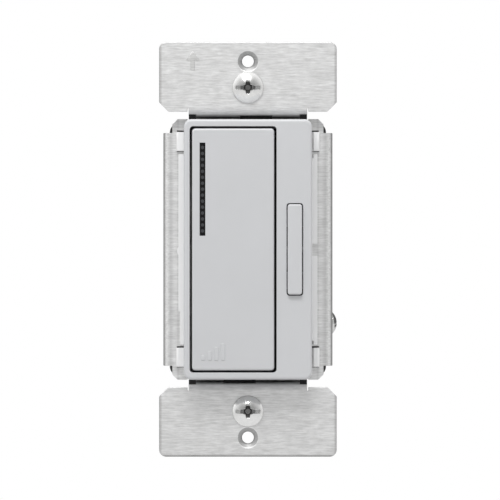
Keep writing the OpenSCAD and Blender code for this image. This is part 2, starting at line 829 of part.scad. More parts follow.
// Housing behind the plate, with terminal pockets in its sides and corner bosses for its screws
module rear_housing() color([0.17, 0.17, 0.18]) {
    lead = wing_bend_r + 0.1;
    floor_y = housing_back - wall;
    inner_w = housing_w - 2 * housing_bevel;
    difference() {
        union() {
            difference() {
                hull() {
                    slab(plate_back, plate_back + lead)
                        rounded_rect(housing_w - 2 * lead, housing_h, housing_corner);
                    slab(plate_back + lead, housing_back - housing_bevel)
                        rounded_rect(housing_w, housing_h, housing_corner);
                    slab(housing_back - housing_bevel, housing_back)
                        rounded_rect(inner_w, housing_h - 2 * housing_bevel, housing_corner - 0.6);
                }
                block(wall - housing_w / 2, housing_w / 2 - wall, plate_back - 1, floor_y,
                    wall - housing_h / 2, housing_h / 2 - wall);
            }
            for (x = [-1, 1], z = [-1, 1]) {
                intersection() {
                    rod_y(x * corner_x, z * corner_z, plate_back, housing_back - wall / 2, boss_r);
                    block(-housing_w / 2 + 0.5, housing_w / 2 - 0.5, plate_back, housing_back,
                        -housing_h / 2, housing_h / 2);
                }
                pocket_shell(x, z);
            }
            both_ends() {
                rod_y(0, power_h / 2 - 4, power_back, floor_y + eps, 2.2);
                // Shoulder behind the neck's reliefs
                block(-neck_w / 2, neck_w / 2, plate_back, plate_back + shoulder_d, housing_h / 2 - wall,
                    plate_h / 2 + relief_h + 0.1);
            }
            for (z = [-1 : 1]) both_sides()
                block(2.5, 3.7, floor_y - 1.2, floor_y + eps, z * 9 - 3, z * 9 + 3);
        }
        for (x = [-1, 1], z = [-1, 1]) {
            pocket_space(x, z);
            rod_y(x * corner_x, z * corner_z, plate_back - 1, housing_back + 1, corner_r + seat);
            rod_y(x * corner_x, z * corner_z, screw_seat, housing_back + 1, 2.9);
            both_sides() block(window_in - 0.3, housing_w / 2 - 0.65, plate_back - 1, plate_back + 2.6,
                z * snap_z - window_below, z * snap_z + window_above);
        }
        rod_x(wing_in - 1.7, wing_in + 1, ground_y, ground_z, ground_r + 0.4);
    }
}

// Walls round one terminal pocket, from the inside of the housing's side
module pocket_shell(x, z) {
    near = housing_w / 2 - pocket_d - wall;
    far = housing_w / 2 - 0.5;
    block(min(x * near, x * far), max(x * near, x * far), pocket_y - pocket_half - wall,
        pocket_y + pocket_half + wall, z * pocket_z - pocket_half - wall, z * pocket_z + pocket_half + wall);
}

// Room of one terminal pocket, open at the side, and the hole for its screw
module pocket_space(x, z) {
    near = housing_w / 2 - pocket_d;
    far = housing_w / 2 + 1;
    block(min(x * near, x * far), max(x * near, x * far), pocket_y - pocket_half, pocket_y + pocket_half,
        z * pocket_z - pocket_half, z * pocket_z + pocket_half);
    rod_x(min(x * (near - wall - 1), x * far), max(x * (near - wall - 1), x * far), pocket_y, z * pocket_z,
        terminal_r + 0.1);
}

module housing_screws() color([0.7, 0.7, 0.72]) {
    for (x = [-1, 1], z = [-1, 1])
        difference() {
            union() {
                rod_y(x * corner_x, z * corner_z, plate_front + seat, screw_seat + eps, corner_r);
                rod_y(x * corner_x, z * corner_z, screw_seat, screw_seat + 1.8, 2.6);
            }
            translate([x * corner_x, screw_seat + 1.8 + eps, z * corner_z]) rotate([90, 0, 0])
                cross_recess(1.5, 0.55, 1.2);
        }
}

// Cross-shaped recess whose wings widen towards the middle and narrow with depth, sunk along +Z
module cross_recess(reach, arm, depth) {
    core = arm * 0.85;
    wing_points = [[reach, -arm / 2], [reach, arm / 2], [core, core]];
    intersection() {
        linear_extrude(depth)
            polygon([for (a = [0 : 90 : 270], q = wing_points)
                [q[0] * cos(a) - q[1] * sin(a), q[0] * sin(a) + q[1] * cos(a)]]);
        cylinder(r1 = reach, r2 = reach * 0.35, h = depth);
    }
}

// Domed head with a slot and a cross recess, from the origin along +Z
module combination_head(d, h) {
    edge = 0.35 * h / 2;
    rise = h - edge;
    dome_r = (d * d / 4 + rise * rise) / (2 * rise);
    slot_w = 1;
    difference() {
        rotate_extrude() intersection() {
            translate([0, h - dome_r]) circle(dome_r, $fn = 96);
            square([d / 2, h]);
        }
        translate([-d / 2, -slot_w / 2, h * 0.52]) cube([d, slot_w, h]);
        translate([0, 0, h + eps]) mirror([0, 0, 1]) cross_recess(0.24 * d, 0.8, h * 0.8);
    }
}

module terminal_lugs() color([0.8, 0.66, 0.35]) {
    near = housing_w / 2 - pocket_d;
    for (z = [-1, 1]) both_sides()
        difference() {
            block(near, near + lug_t, pocket_y - pocket_half + 0.3, pocket_y + pocket_half - 0.3,
                z * pocket_z - pocket_half + 0.3, z * pocket_z + pocket_half - 0.3);
            rod_x(near - 1, near + lug_t + 1, pocket_y, z * pocket_z, terminal_r + seat);
        }
}

// Loose plate under each terminal screw, with turned-down edges
module clamp_plates() color([0.78, 0.77, 0.74]) {
    near = housing_w / 2 - pocket_d + lug_t + clamp_gap;
    half = pocket_half - 0.7;
    for (z = [-1, 1]) both_sides()
        difference() {
            union() {
                block(near, near + clamp_t, pocket_y - half, pocket_y + half, z * pocket_z - half, z * pocket_z + half);
                for (side = [-1, 1])
                    block(near - clamp_gap + 0.35, near + clamp_t, pocket_y - half, pocket_y + half,
                        z * pocket_z + side * (half - 0.4) - 0.4, z * pocket_z + side * (half - 0.4) + 0.4);
            }
            rod_x(near - 1, near + clamp_t + 1, pocket_y, z * pocket_z, terminal_r + seat);
        }
}

// Terminal screw at one side and height
module terminal_screw(x, z) {
    seat_x = housing_w / 2 - pocket_d + lug_t + clamp_gap + clamp_t;
    translate([x * seat_x, pocket_y, z * pocket_z]) rotate([0, 90 * x, 0]) {
        combination_head(terminal_d, head_t);
        translate([0, 0, -clamp_t - clamp_gap - lug_t - wall - 0.4])
            cylinder(r = terminal_r, h = clamp_t + clamp_gap + lug_t + wall + 0.4 + eps);
    }
}

module line_screws() color([0.78, 0.62, 0.3]) {
    terminal_screw(1, 1);
    terminal_screw(1, -1);
    terminal_screw(-1, -1);
}

module neutral_screw() color([0.8, 0.8, 0.8]) {
    terminal_screw(-1, 1);
}

// Box screws with a relieved neck, so that a thin washer keeps them in the ears
module mounting_screws() color([0.8, 0.8, 0.8]) {
    relief = 0.5;
    tip = 0.9;
    for (z = [-1, 1])
        translate([0, ear_front, z * box_spacing / 2]) rotate([90, 0, 0]) {
            combination_head(head_d, head_h);
            translate([0, 0, -sheet_t - relief]) cylinder(r = thread_r - 0.3, h = sheet_t + relief + eps);
            translate([0, 0, -sheet_t - screw_l + tip])
                cylinder(r = thread_r, h = screw_l - relief - tip);
            translate([0, 0, -sheet_t - screw_l]) cylinder(r1 = thread_r * 0.6, r2 = thread_r, h = tip);
        }
}

// Thin washers that the necks of the box screws can't slip out of
module screw_retainers() color([0.55, 0.5, 0.42]) {
    retainer_w = head_d + 1.9;
    retainer_h = head_d - 0.6;
    for (z = [-1, 1])
        difference() {
            slab(0, 0.4) translate([0, z * box_spacing / 2]) rounded_rect(retainer_w, retainer_h, 1);
            rod_y(0, z * box_spacing / 2, -1, 1, thread_r - 0.2);
        }
}

module ground_screw() color([0.78, 0.78, 0.78]) {
    dome = 4;
    slot_w = 0.7;
    slot_turn = 26;
    past = 1.2;
    translate([wing_out, ground_y, ground_z]) rotate([0, 90, 0]) {
        difference() {
            rotate_extrude() intersection() {
                translate([0, ground_head_h - dome]) circle(dome, $fn = 96);
                square([ground_head_r, ground_head_h]);
            }
            rotate(slot_turn) translate([-slot_w / 2, -dome, ground_head_h - 0.55])
                cube([slot_w, 2 * dome, 1]);
        }
        translate([0, 0, -sheet_t - past]) cylinder(r = ground_r, h = sheet_t + past + eps);
    }
}

mounting_strap();
face_frame();
switch_tray();
paddle();
light_window();
dim_bar();
dim_pads();
control_board();
push_switch();
push_plunger();
dim_switches();
light_row();
light_guide();
radio_module();
board_link();
paddle_spring();
power_board();
transistors();
transistor_pads();
transistor_rivets();
choke_core();
choke_winding();
fuse_tube();
fuse_caps();
film_capacitor();
storage_capacitor();
surge_disc();
rear_housing();
housing_screws();
terminal_lugs();
clamp_plates();
line_screws();
neutral_screw();
mounting_screws();
screw_retainers();
ground_screw();
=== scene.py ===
"""Finishes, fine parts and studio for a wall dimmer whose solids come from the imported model.

Lengths are in metres, X is right, Z is up and the front faces -Y. Sizes in millimetres are turned
to metres by MM.
"""

import json
import logging
import math
from dataclasses import dataclass
from enum import Enum

import bmesh
import bpy
from mathutils import Matrix, Vector


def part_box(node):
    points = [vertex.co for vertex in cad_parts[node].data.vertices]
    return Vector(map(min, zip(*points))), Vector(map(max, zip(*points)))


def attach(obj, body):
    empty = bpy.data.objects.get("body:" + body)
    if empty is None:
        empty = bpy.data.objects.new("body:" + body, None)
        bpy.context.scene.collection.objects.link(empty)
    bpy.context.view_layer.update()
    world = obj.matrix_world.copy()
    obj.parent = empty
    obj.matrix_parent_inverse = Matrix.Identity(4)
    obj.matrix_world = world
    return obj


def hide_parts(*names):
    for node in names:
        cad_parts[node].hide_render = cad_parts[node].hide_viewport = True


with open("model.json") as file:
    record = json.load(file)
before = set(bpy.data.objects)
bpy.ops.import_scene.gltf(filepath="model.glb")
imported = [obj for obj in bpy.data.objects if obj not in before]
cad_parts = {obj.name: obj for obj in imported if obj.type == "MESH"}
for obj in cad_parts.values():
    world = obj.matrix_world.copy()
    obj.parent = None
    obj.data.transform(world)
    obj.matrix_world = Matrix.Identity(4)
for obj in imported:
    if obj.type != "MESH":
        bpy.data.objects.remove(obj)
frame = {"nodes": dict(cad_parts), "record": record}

MM = 0.001
PHOTO_SIZE = 500
MERGE = 0.001 * MM
LOG = logging.getLogger("dimmer")

Colour = tuple[float, float, float]
Point = tuple[float, float, float]
Socket = bpy.types.NodeSocket

BODY_OF: dict[str, str] = {
    node: body for body, nodes in frame["record"]["behaviour"]["bodies"].items() for node in nodes
}


def shade(red: int, green: int, blue: int) -> Colour:
    """Turns a screen colour into the linear one that a shader takes.

    Args:
        red: Red from 0 to 255.
        green: Green from 0 to 255.
        blue: Blue from 0 to 255.

    Returns:
        The linear colour.
    """

    def linear(value: int) -> float:
        """Turns one channel from 0 to 255 linear."""
        v = value / 255
        return v / 12.92 if v <= 0.04045 else ((v + 0.055) / 1.055) ** 2.4

    return linear(red), linear(green), linear(blue)


def scaled(colour: Colour, factor: float) -> Colour:
    """Makes a colour darker or lighter by a factor."""
    return tuple(min(1.0, c * factor) for c in colour)


class Graph:
    """Nodes and links of one material, under short names."""

    def __init__(self, name: str) -> None:
        """Starts a material with a Principled shader.

        Args:
            name: Name of the material.
        """
        self.material = bpy.data.materials.new(name)
        self.material.use_nodes = True
        self.tree = self.material.node_tree
        self.shader = self.tree.nodes["Principled BSDF"]

    def add(self, kind: str, **settings: object) -> bpy.types.Node:
        """Adds a node.

        Args:
            kind: Type of the node, without ShaderNode.
            settings: Properties of the node, or inputs by name where it has no such property.

        Returns:
            The new node.
        """
        node = self.tree.nodes.new("ShaderNode" + kind)
        for name, value in settings.items():
            if hasattr(node, name):
                setattr(node, name, value)
            else:
                node.inputs[name.replace("_", " ")].default_value = value
        return node

    def join(self, source: Socket, target: Socket) -> None:
        """Links an output to an input."""
        self.tree.links.new(source, target)

    def set(self, **values: object) -> None:
        """Sets sockets of the shader by name."""
        for name, value in values.items():
            self.shader.inputs[name.replace("_", " ")].default_value = value

    def place(self, scale: Point, centre: Point = (0, 0, 0)) -> Socket:
        """Gives object coordinates in scaled millimetres.

        Args:
            scale: Pattern units per millimetre along each axis.
            centre: Middle of the pattern, in millimetres.

        Returns:
            The vector output.
        """
        mapping = self.add("Mapping")
        mapping.inputs["Scale"].default_value = [s / MM for s in scale]
        mapping.inputs["Location"].default_value = [-c * s for c, s in zip(centre, scale)]
        self.join(self.add("TexCoord").outputs["Object"], mapping.inputs["Vector"])
        return mapping.outputs["Vector"]

    def math(self, operation: str, first: Socket, second: Socket | float = 0.0) -> Socket:
        """Adds a sum.

        Args:
            operation: Name of the operation.
            first: Its first value.
            second: Its second value.

        Returns:
            The result.
        """
        node = self.add("Math", operation=operation)
        self.join(first, node.inputs[0])
        if isinstance(second, float):
            node.inputs[1].default_value = second
        else:
            self.join(second, node.inputs[1])
        return node.outputs[0]

    def noise(self, where: Socket, detail: float, roughness: float) -> Socket:
        """Adds a noise of unit scale.

        Args:
            where: Vector that it reads.
            detail: Number of octaves.
            roughness: Weight of the finer octaves.

        Returns:
            Its factor output.
        """
        node = self.add("TexNoise", Scale=1.0, Detail=detail, Roughness=roughness)
        self.join(where, node.inputs["Vector"])
        return node.outputs["Fac"]

    def remap(self, source: Socket, ends: tuple[float, float], values: tuple[float, float]) -> Socket:
        """Maps a range to another one and holds it at the ends.

        Args:
            source: The value.
            ends: Range that is read.
            values: Values at its ends.

        Returns:
            The mapped value.
        """
        node = self.add("MapRange", From_Min=ends[0], From_Max=ends[1], To_Min=values[0], To_Max=values[1])
        self.join(source, node.inputs["Value"])
        return node.outputs["Result"]

    def mix(self, factor: Socket, dark: Colour | Socket, light: Colour | Socket) -> Socket:
        """Mixes two colours.

        Args:
            factor: Factor from 0 to 1.
            dark: Colour at 0.
            light: Colour at 1.

        Returns:
            The mixed colour.
        """
        node = self.add("Mix", data_type="RGBA")
        for socket, colour in ((node.inputs["A"], dark), (node.inputs["B"], light)):
            if isinstance(colour, tuple):
                socket.default_value = (*colour, 1)
            else:
                self.join(colour, socket)
        self.join(factor, node.inputs["Factor"])
        return node.outputs["Result"]

    def shaded(self, colour: Socket, shadows: "Shadows", painted_slope_light: float) -> Socket:
        """Paints shade into a metal's colour, in its recesses and on slopes between its front and sides.

        Args:
            colour: Colour of the metal.
            shadows: Its painted shadows, in its recesses.
            painted_slope_light: Share of painted light on a steep slope.

        Returns:
            The darkened colour.
        """
        # Painted shade on the slopes: the colour darkens where the normal turns from the front towards the
        # side.
        split = self.add("SeparateXYZ")
        self.join(self.add("TexCoord").outputs["Normal"], split.inputs[0])
        front = self.math("ABSOLUTE", split.outputs["Y"])
        slope = self.remap(front, (0.2, 0.75), (painted_slope_light, 1.0))
        light = self.math("MAXIMUM", slope, self.remap(front, (0.02, 0.15), (1.0, painted_slope_light)))
        # Painted shade and painted shadow in the recesses.
        for shadow in shadows:
            light = self.math("MULTIPLY", light, shadow.light(self))
        return self.mix(light, (0.0, 0.0, 0.0), colour)

    def bump(self, source: Socket, depth: float) -> None:
        """Raises the surface by a height.

        Args:
            source: Height from 0 to 1.
            depth: Depth of the relief, in millimetres.
        """
        node = self.add("Bump", Distance=depth * MM)
        self.join(source, node.inputs["Height"])
        self.join(node.outputs["Normal"], self.shader.inputs["Normal"])

    def colour(self, source: Socket) -> None:
        """Gives the surface a colour that varies."""
        self.join(source, self.shader.inputs["Base Color"])

    def rough(self, source: Socket) -> None:
        """Gives the surface a roughness that varies."""
        self.join(source, self.shader.inputs["Roughness"])


@dataclass(frozen=True)
class RecessShade:
    """Painted shade on the part of a piece that lies deep in a gap or a fold, in millimetres.

    It spans a width about its middle, or what lies beyond that width, between two depths and up
    to a height, or only above the middle. Over the two heights of a fold the light comes back.
    """

    across: float
    middle: float = 0.0
    beyond: bool = False
    front: float = -100.0
    back: float = 100.0
    height: float = 100.0
    upper: bool = False
    fold: tuple[float, float] | None = None
    fold_middle: float = 0.0
    least: float = 0.02

    def light(self, g: Graph) -> Socket:
        """Gives the share of light, which is 1 outside the recess.

        Args:
            g: Graph of the material.

        Returns:
            The share.
        """
        split = g.add("SeparateXYZ")
        g.join(g.place((1, 1, 1), (self.middle, 0, self.fold_middle)), split.inputs[0])
        side = g.math("ABSOLUTE", split.outputs["X"])
        height = g.math("ABSOLUTE", split.outputs["Z"])
        clear = g.math("LESS_THAN" if self.beyond else "GREATER_THAN", side, self.across)
        for test in (
            g.math("LESS_THAN", split.outputs["Y"], self.front),
            g.math("GREATER_THAN", split.outputs["Y"], self.back),
            g.math("GREATER_THAN", height, self.height),
        ):
            clear = g.math("MAXIMUM", clear, test)
        if self.upper:
            clear = g.math("MAXIMUM", clear, g.math("LESS_THAN", split.outputs["Z"], 0.0))
        low = g.remap(height, self.fold, (self.least, 1.0)) if self.fold else self.least
        return g.math("MAXIMUM", clear, low)


@dataclass(frozen=True)
class PitShade:
    """Painted shade in round recesses on the upright middle line, in millimetres.

    There is one at the same height above and below the middle, from a depth backwards.
    """

    height: float
    radius: float
    depth: float
    least: float = 0.4

    def light(self, g: Graph) -> Socket:
        """Gives the share of light, which is 1 outside the recesses.

        Args:
            g: Graph of the material.

        Returns:
            The share.
        """
        split = g.add("SeparateXYZ")
        g.join(g.place((1, 1, 1)), split.inputs[0])
        up = g.math("SUBTRACT", g.math("ABSOLUTE", split.outputs["Z"]), self.height)
        side = g.math("ABSOLUTE", split.outputs["X"])
        square = g.math("ADD", g.math("MULTIPLY", up, up), g.math("MULTIPLY", side, side))
        outside = g.math("GREATER_THAN", square, self.radius**2)
        clear = g.math("MAXIMUM", outside, g.math("LESS_THAN", split.outputs["Y"], self.depth))
        return g.remap(clear, (0.0, 1.0), (self.least, 1.0))


@dataclass(frozen=True)
class ShadeStripe:
    """Straight stripe of painted shade, in millimetres.

    It is darkest at a place on an axis, or at that distance from the middle at both sides, and
    lies between two depths.
    """

    middle: float
    half: float
    least: float
    front: float = -100.0
    back: float = 100.0
    axis: str = "X"
    both: bool = True

    def light(self, g: Graph) -> Socket:
        """Gives the share of light, which is 1 outside the stripes.

        Args:
            g: Graph of the material.

        Returns:
            The share.
        """
        split = g.add("SeparateXYZ")
        g.join(g.place((1, 1, 1)), split.inputs[0])
        place = split.outputs[self.axis]
        if self.both:
            place = g.math("ABSOLUTE", place)
        away = g.math("ABSOLUTE", g.math("SUBTRACT", place, self.middle))
        dip = g.remap(away, (0.0, self.half), (self.least, 1.0))
        clear = g.math("MAXIMUM", dip, g.math("LESS_THAN", split.outputs["Y"], self.front))
        return g.math("MAXIMUM", clear, g.math("GREATER_THAN", split.outputs["Y"], self.back))


Shadows = tuple[RecessShade | PitShade | ShadeStripe, ...]


@dataclass(frozen=True)
class Moulded:
    """Moulded plastic or rubber with a fine grain and faint cloudiness, and painted shade in a gap if it has
    one.
    """

    colour: Colour
    roughness: float = 0.4
    grain: float = 5.0
    depth: float = 0.004
    cloud: float = 0.012
    specular: float = 0.5
    slot: str = ""
    recess_shade: RecessShade | None = None

    def make(self, name: str) -> bpy.types.Material:
        """Builds the material.

        Args:
            name: Name of the material.

        Returns:
            The material.
        """
        g = Graph(name)
        g.set(Specular_IOR_Level=self.specular)
        clouds = g.remap(g.noise(g.place((0.08, 0.08, 0.08)), 3, 0.5), (0.3, 0.7), (0.0, 1.0))
        colour = g.mix(clouds, scaled(self.colour, 1 - self.cloud), scaled(self.colour, 1 + self.cloud))
        # Painted shade in a gap: the colour darkens and the specular level falls with it.
        if self.recess_shade:
            light = self.recess_shade.light(g)
            colour = g.mix(light, scaled(self.colour, self.recess_shade.least), colour)
            shine = g.remap(light, (0.0, 1.0), (0.0, self.specular))
            g.join(shine, g.shader.inputs["Specular IOR Level"])
        g.colour(colour)
        fine = g.noise(g.place((self.grain, self.grain, self.grain)), 2, 0.6)
        g.rough(g.remap(fine, (0.25, 0.75), (self.roughness - 0.04, self.roughness + 0.04)))
        g.bump(fine, self.depth)
        return g.material


@dataclass(frozen=True)
class Brushed:
    """Metal sheet with straight fine grain along one axis and broad blotches, and painted shade on slopes and
    in recesses.
    """

    colour: Colour
    roughness: float = 0.55
    along: Point = (0.3, 3.0, 3.0)
    depth: float = 0.006
    streak: float = 0.18
    blotch: float = 0.05
    painted_slope_light: float = 0.45
    slot: str = ""
    shadows: Shadows = ()

    def make(self, name: str) -> bpy.types.Material:
        """Builds the material.

        Args:
            name: Name of the material.

        Returns:
            The material.
        """
        g = Graph(name)
        g.set(Metallic=1.0)
        grain = g.noise(g.place(self.along), 4, 0.7)
        streaks = g.remap(grain, (0.3, 0.7), (0.0, 1.0))
        colour = g.mix(streaks, scaled(self.colour, 1 - self.streak), scaled(self.colour, 1 + self.streak))
        spots = g.remap(g.noise(g.place((0.35, 0.35, 0.5)), 4, 0.6), (0.3, 0.7), (0.0, 1.0))
        colour = g.mix(g.math("MULTIPLY", spots, 2 * self.blotch), colour, (0.0, 0.0, 0.0))
        g.colour(g.shaded(colour, self.shadows, self.painted_slope_light))
        g.rough(g.remap(grain, (0.2, 0.8), (self.roughness - 0.06, self.roughness + 0.08)))
        g.bump(grain, self.depth)
        return g.material


@dataclass(frozen=True)
class Plated:
    """Plated or solid metal hardware with a faint mottle, and painted shade on slopes and in recesses."""

    colour: Colour
    roughness: float = 0.3
    mottle: float = 0.05
    painted_slope_light: float = 0.5
    slot: str = ""
    shadows: Shadows = ()

    def make(self, name: str) -> bpy.types.Material:
        """Builds the material.

        Args:
            name: Name of the material.

        Returns:
            The material.
        """
        g = Graph(name)
        g.set(Metallic=1.0)
        mottle = g.noise(g.place((1.2, 1.2, 1.2)), 4, 0.6)
        factor = g.remap(mottle, (0.25, 0.75), (0.0, 1.0))
        colour = g.mix(factor, scaled(self.colour, 1 - self.mottle), scaled(self.colour, 1 + self.mottle))
        g.colour(g.shaded(colour, self.shadows, self.painted_slope_light))
        g.rough(g.remap(mottle, (0.2, 0.8), (self.roughness - 0.05, self.roughness + 0.07)))
        g.bump(g.noise(g.place((12, 12, 12)), 2, 0.5), 0.002)
        return g.material


# Painted shade and painted shadow on the strap: neck folds, hole dimples, wing bends, ear edges, ear foot and
# the line beside the tray.
NECK_FOLD_SHADE = RecessShade(across=15.4, back=2.2, fold=(33.8, 34.9), fold_middle=-0.1, least=0.15)
UPPER_FOLD_SHADE = RecessShade(across=15.4, back=2.2, upper=True, fold=(34.5, 36.3), least=0.68)
HOLE_DIMPLE_SHADE = PitShade(height=48.42, radius=2.6, depth=-1.56, least=0.6)
WING_CREASE_SHADE = ShadeStripe(middle=19.95, half=0.9, least=0.83, front=2.2)
WING_BEND_SHADE = ShadeStripe(middle=21.8, half=0.9, least=0.75, front=2.2)
EAR_SIDE_SHADE = ShadeStripe(middle=22.85, half=0.8, least=0.6, back=0.1)
EAR_FOOT_SHADE = ShadeStripe(middle=-53.35, half=0.65, least=0.3, back=0.1, axis="Z", both=False)
TRAY_CONTACT_SHADOW = ShadeStripe(middle=18.0, half=0.45, least=0.87, front=2.2)
STRAP_SHADOWS = (
    NECK_FOLD_SHADE, UPPER_FOLD_SHADE, HOLE_DIMPLE_SHADE, WING_CREASE_SHADE, WING_BEND_SHADE, EAR_SIDE_SHADE, EAR_FOOT_SHADE, TRAY_CONTACT_SHADOW,
)
# Painted shade deep in the frame's opening and on the paddle's pins in the gap.
FRAME_INSIDE_SHADE = RecessShade(across=15.4, front=-7.9, height=32.4, least=0.03)
PADDLE_PIN_SHADE = RecessShade(across=10.6, middle=-3.8, beyond=True)
SCREWS_LOW, SCREWS_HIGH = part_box("mounting_screws")
HEAD_RADIUS = SCREWS_HIGH.x / MM
SCREW_HEIGHT = SCREWS_HIGH.z / MM - HEAD_RADIUS
# Painted shade in the cross recesses of the box screws' heads.
SCREW_CROSS_SHADE = PitShade(height=SCREW_HEIGHT, radius=0.48 * HEAD_RADIUS, depth=SCREWS_LOW.y / MM + 0.42)


class Finish(Enum):
    """Every finish of the dimmer."""

    ALUMINIUM_SHEET = Brushed(shade(243, 243, 242), shadows=STRAP_SHADOWS)
    # Painted shade: the stamped arrow's colour is darker than the sheet's.
    STAMPED_MARK = Brushed(shade(222, 222, 221), slot="aluminium_sheet")
    WHITE_FACE = Moulded(shade(207, 208, 210), roughness=0.38, recess_shade=FRAME_INSIDE_SHADE)
    WHITE_BUTTON = Moulded(shade(206, 207, 209), roughness=0.34, recess_shade=PADDLE_PIN_SHADE)
    WHITE_BAR = Moulded(shade(207, 208, 210), roughness=0.34, slot="white_button")
    TRAY_PLASTIC = Moulded(shade(245, 245, 245), roughness=0.45)
    DARK_WINDOW = Moulded(shade(22, 22, 23), roughness=0.25, depth=0.001, specular=0.2)
    WINDOW_DOT = Moulded(shade(66, 67, 69), roughness=0.4, specular=0.2, slot="dark_window")
    CLEAR_GUIDE = Moulded(shade(220, 228, 230), roughness=0.15)
    SOFT_PAD = Moulded(shade(205, 205, 206), roughness=0.6)
    DARK_BOARD = Moulded(shade(38, 41, 39), roughness=0.35, cloud=0.05)
    SWITCH_METAL = Plated(shade(190, 191, 194), roughness=0.35)
    BLACK_PLASTIC = Moulded(shade(38, 38, 39), 0.5, grain=6.0, depth=0.008, cloud=0.06)
    LIGHT_CHIP = Moulded(shade(232, 226, 190), roughness=0.3)
    SPRING_STEEL = Brushed(shade(190, 192, 195), roughness=0.25)
    INSULATOR = Moulded(shade(190, 184, 166), roughness=0.5)
    FERRITE = Moulded(shade(64, 70, 62), roughness=0.5)
    COPPER_WIRE = Plated(shade(190, 110, 60), roughness=0.3)
    GLASS_TUBE = Moulded(shade(215, 224, 224), roughness=0.1)
    FILM_BLUE = Moulded(shade(44, 66, 130), roughness=0.3)
    ZINC_STEEL = Plated(shade(208, 208, 207), roughness=0.27)
    BRIGHT_ZINC = Plated(
        shade(228, 228, 227), roughness=0.2, painted_slope_light=0.7, slot="zinc_steel", shadows=(SCREW_CROSS_SHADE,),
    )
    BRASS_PART = Plated(shade(196, 164, 96), roughness=0.26)
    FIBRE = Moulded(shade(128, 116, 96), roughness=0.75, grain=3.0, depth=0.02, cloud=0.08)

    @property
    def slot(self) -> str:
        """Name of the material slot in the record."""
        return self.value.slot or self.name.lower()

    def dress(self, piece: bpy.types.Object) -> None:
        """Gives a piece this finish.

        Args:
            piece: The piece.
        """
        name = self.name.lower() + "_finish"
        material = bpy.data.materials.get(name) or self.value.make(name)
        piece.data.materials.clear()
        piece.data.materials.append(material)
        self.slot


def new_piece(name: str, bm: bmesh.types.BMesh) -> bpy.types.Object:
    """Turns a bmesh into an object at the origin.

    Args:
        name: Name of the piece.
        bm: The mesh, which is freed.

    Returns:
        The new object.
    """
    mesh = bpy.data.meshes.new(name)
    bm.to_mesh(mesh)
    bm.free()
    piece = bpy.data.objects.new(name, mesh)
    bpy.context.scene.collection.objects.link(piece)
    return piece


def soften(piece: bpy.types.Object) -> None:
    """Shades a piece smooth, with flat faces kept flat.

    Args:
        piece: The piece.
    """
    piece.data.shade_smooth()
    normals = piece.modifiers.new("normals", "WEIGHTED_NORMAL")
    normals.keep_sharp = True


def mark_sharp(bm: bmesh.types.BMesh, angle: float = 50) -> None:
    """Marks the edges that stay sharp.

    Args:
        bm: The mesh.
        angle: Least angle of a sharp edge, in degrees.
    """
    for edge in bm.edges:
        edge.smooth = edge.calc_face_angle(math.pi) < math.radians(angle)


def round_edges(bm: bmesh.types.BMesh, edges: list[bmesh.types.BMEdge], width: float, steps: int = 2) -> None:
    """Rounds edges.

    Args:
        bm: The mesh.
        edges: The edges to round.
        width: Width of the rounding, in metres.
        steps: Steps across it.
    """
    bmesh.ops.bevel(
        bm, geom=edges, offset=width, offset_type="OFFSET", segments=steps, profile=0.5,
        affect="EDGES", material=-1, clamp_overlap=False,
    )


@dataclass(frozen=True)
class Edges:
    """Outer edges of a solid that are rounded, with lengths in millimetres."""

    width: float
    front: float = -100.0
    back: float = 100.0
    angle: float = 35.0
    neck: float = 0.0
    neck_heights: tuple[float, float] = (33.2, 35.0)

    def takes(self, edge: bmesh.types.BMEdge) -> bool:
        """Tells whether an edge is rounded.

        Args:
            edge: The edge.

        Returns:
            True for an outer edge in the range that this covers.
        """
        if not edge.is_manifold or edge.calc_face_angle_signed(0) < math.radians(self.angle):
            return False
        low, high = self.neck_heights
        for vert in edge.verts:
            x, y, z = (c / MM for c in vert.co)
            if not self.front <= y <= self.back:
                return False
            if abs(x) < self.neck and low < abs(z) < high and y > 0.5:
                return False
        return True


def finished(node: str, finish: Finish, edges: Edges | None = None) -> bpy.types.Object:
    """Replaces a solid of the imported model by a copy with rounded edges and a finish.

    Args:
        node: Name of the solid.
        finish: Its finish.
        edges: Edges that are rounded, or None for none.

    Returns:
        The copy.
    """
    bm = bmesh.new()
    bm.from_mesh(frame["nodes"][node].data)
    bmesh.ops.remove_doubles(bm, verts=bm.verts, dist=MERGE)
    if edges:
        bmesh.ops.dissolve_limit(bm, angle_limit=math.radians(0.3), verts=bm.verts, edges=bm.edges)
        round_edges(bm, [e for e in bm.edges if edges.takes(e)], edges.width * MM)
    mark_sharp(bm)
    piece = new_piece(node + "_finished", bm)
    soften(piece)
    finish.dress(piece)
    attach(piece, BODY_OF[node])
    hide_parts(node)
    LOG.info("%s: %s", node, finish.slot)
    return piece


def added(name: str, bm: bmesh.types.BMesh, finish: Finish, body: str) -> bpy.types.Object:
    """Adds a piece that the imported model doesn't have.

    Args:
        name: Name of the piece.
        bm: Its mesh.
        finish: Its finish.
        body: Body that it rides on.

    Returns:
        The piece.
    """
    bmesh.ops.recalc_face_normals(bm, faces=bm.faces)
    mark_sharp(bm)
    piece = new_piece(name, bm)
    soften(piece)
    finish.dress(piece)
    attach(piece, body)
    LOG.info("%s: %s", name, finish.slot)
    return piece


def add_block(bm: bmesh.types.BMesh, centre: Point, size: Point) -> list[bmesh.types.BMVert]:
    """Adds a block to a mesh.

    Args:
        bm: The mesh.
        centre: Middle of the block, in metres.
        size: Its size, in metres.

    Returns:
        Its corners.
    """
    matrix = Matrix.Translation(centre) @ Matrix.Diagonal((*size, 1))
    return bmesh.ops.create_cube(bm, size=1, matrix=matrix)["verts"]


